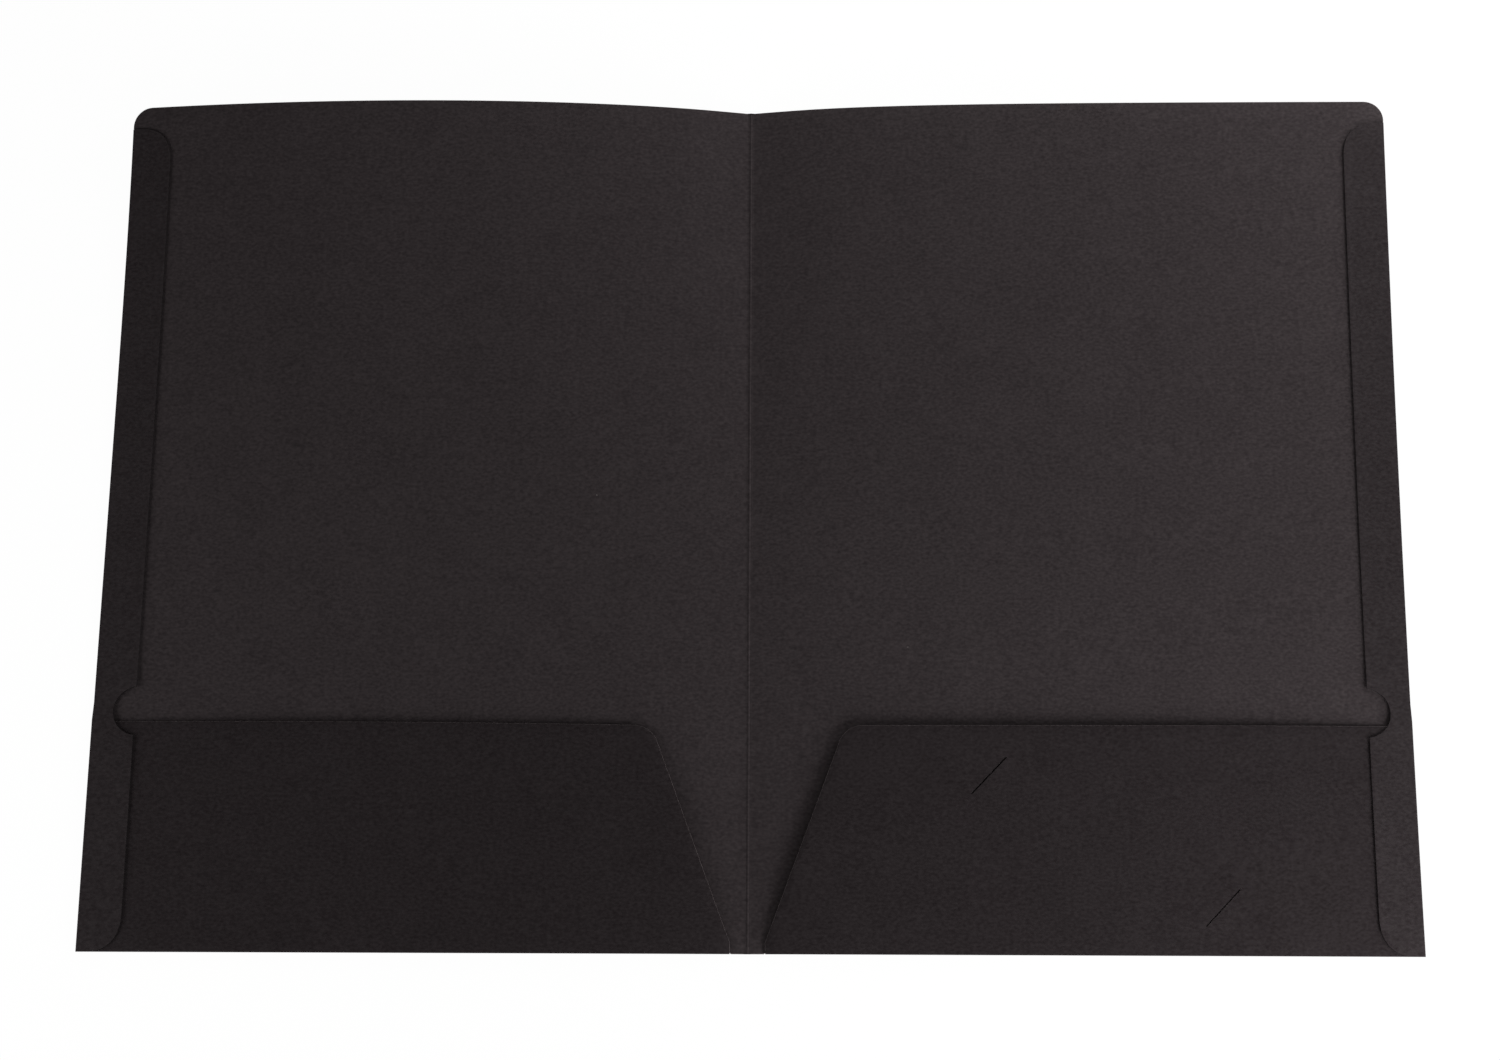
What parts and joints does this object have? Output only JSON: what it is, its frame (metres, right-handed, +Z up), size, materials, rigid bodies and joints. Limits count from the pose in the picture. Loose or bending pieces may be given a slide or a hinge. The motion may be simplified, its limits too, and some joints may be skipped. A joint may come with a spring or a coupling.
{
  "type": "two pocket folder",
  "caption": "Open presentation folder of thin black board, with a creased spine, a low slanted pocket in each cover, glued edge flaps with thumb notches and slits for a business card.",
  "frame": {"origin": "on the table, under the middle of the spine, halfway between the top and bottom edges", "axes": "+X to the right across both covers, +Y along the spine to the top edge, +Z up out of the open folder"},
  "size_m": [0.4572, 0.3048, 0.0071],
  "materials": {
    "black_board": "matt, dyed through, uncoated",
    "glue": "dried hot melt"
  },
  "bodies": {
    "left_cover": {"left_cover_panel": "black_board", "left_edge_fold": "black_board", "left_edge_flap": "black_board", "left_flap_glue": "glue", "left_pocket_glue": "glue", "left_pocket_fold": "black_board", "left_pocket": "black_board", "spine_crease": "black_board"},
    "right_cover": {"right_cover_panel": "black_board", "right_edge_fold": "black_board", "right_edge_flap": "black_board", "right_flap_glue": "glue", "right_pocket_glue": "glue", "right_pocket_fold": "black_board", "right_pocket": "black_board"},
    "left_pocket_mouth": {"left_pocket_corner": "black_board"},
    "right_pocket_mouth": {"right_pocket_corner": "black_board"}
  },
  "joints": [
    {"name": "spine_fold", "type": "hinge", "parent": "left_cover", "child": "right_cover", "pos_m": [0, 0, 0.00075], "axis": [0, -1, 0], "range_deg": [0, 177]},
    {"name": "left_mouth_bend", "type": "hinge", "parent": "left_cover", "child": "left_pocket_mouth", "pos_m": [-0.006, -0.1489, 0.0008], "axis": [0.9387, -0.3447, 0], "range_deg": [-6, 0]},
    {"name": "right_mouth_bend", "type": "hinge", "parent": "right_cover", "child": "right_pocket_mouth", "pos_m": [0.006, -0.1489, 0.0008], "axis": [0.9387, 0.3447, 0], "range_deg": [-6, 0]}
  ],
  "couplings": [
    {"joint": "left_mouth_bend", "follows": "spine_fold", "ratio": -0.033897},
    {"joint": "right_mouth_bend", "follows": "spine_fold", "ratio": -0.033897}
  ]
}
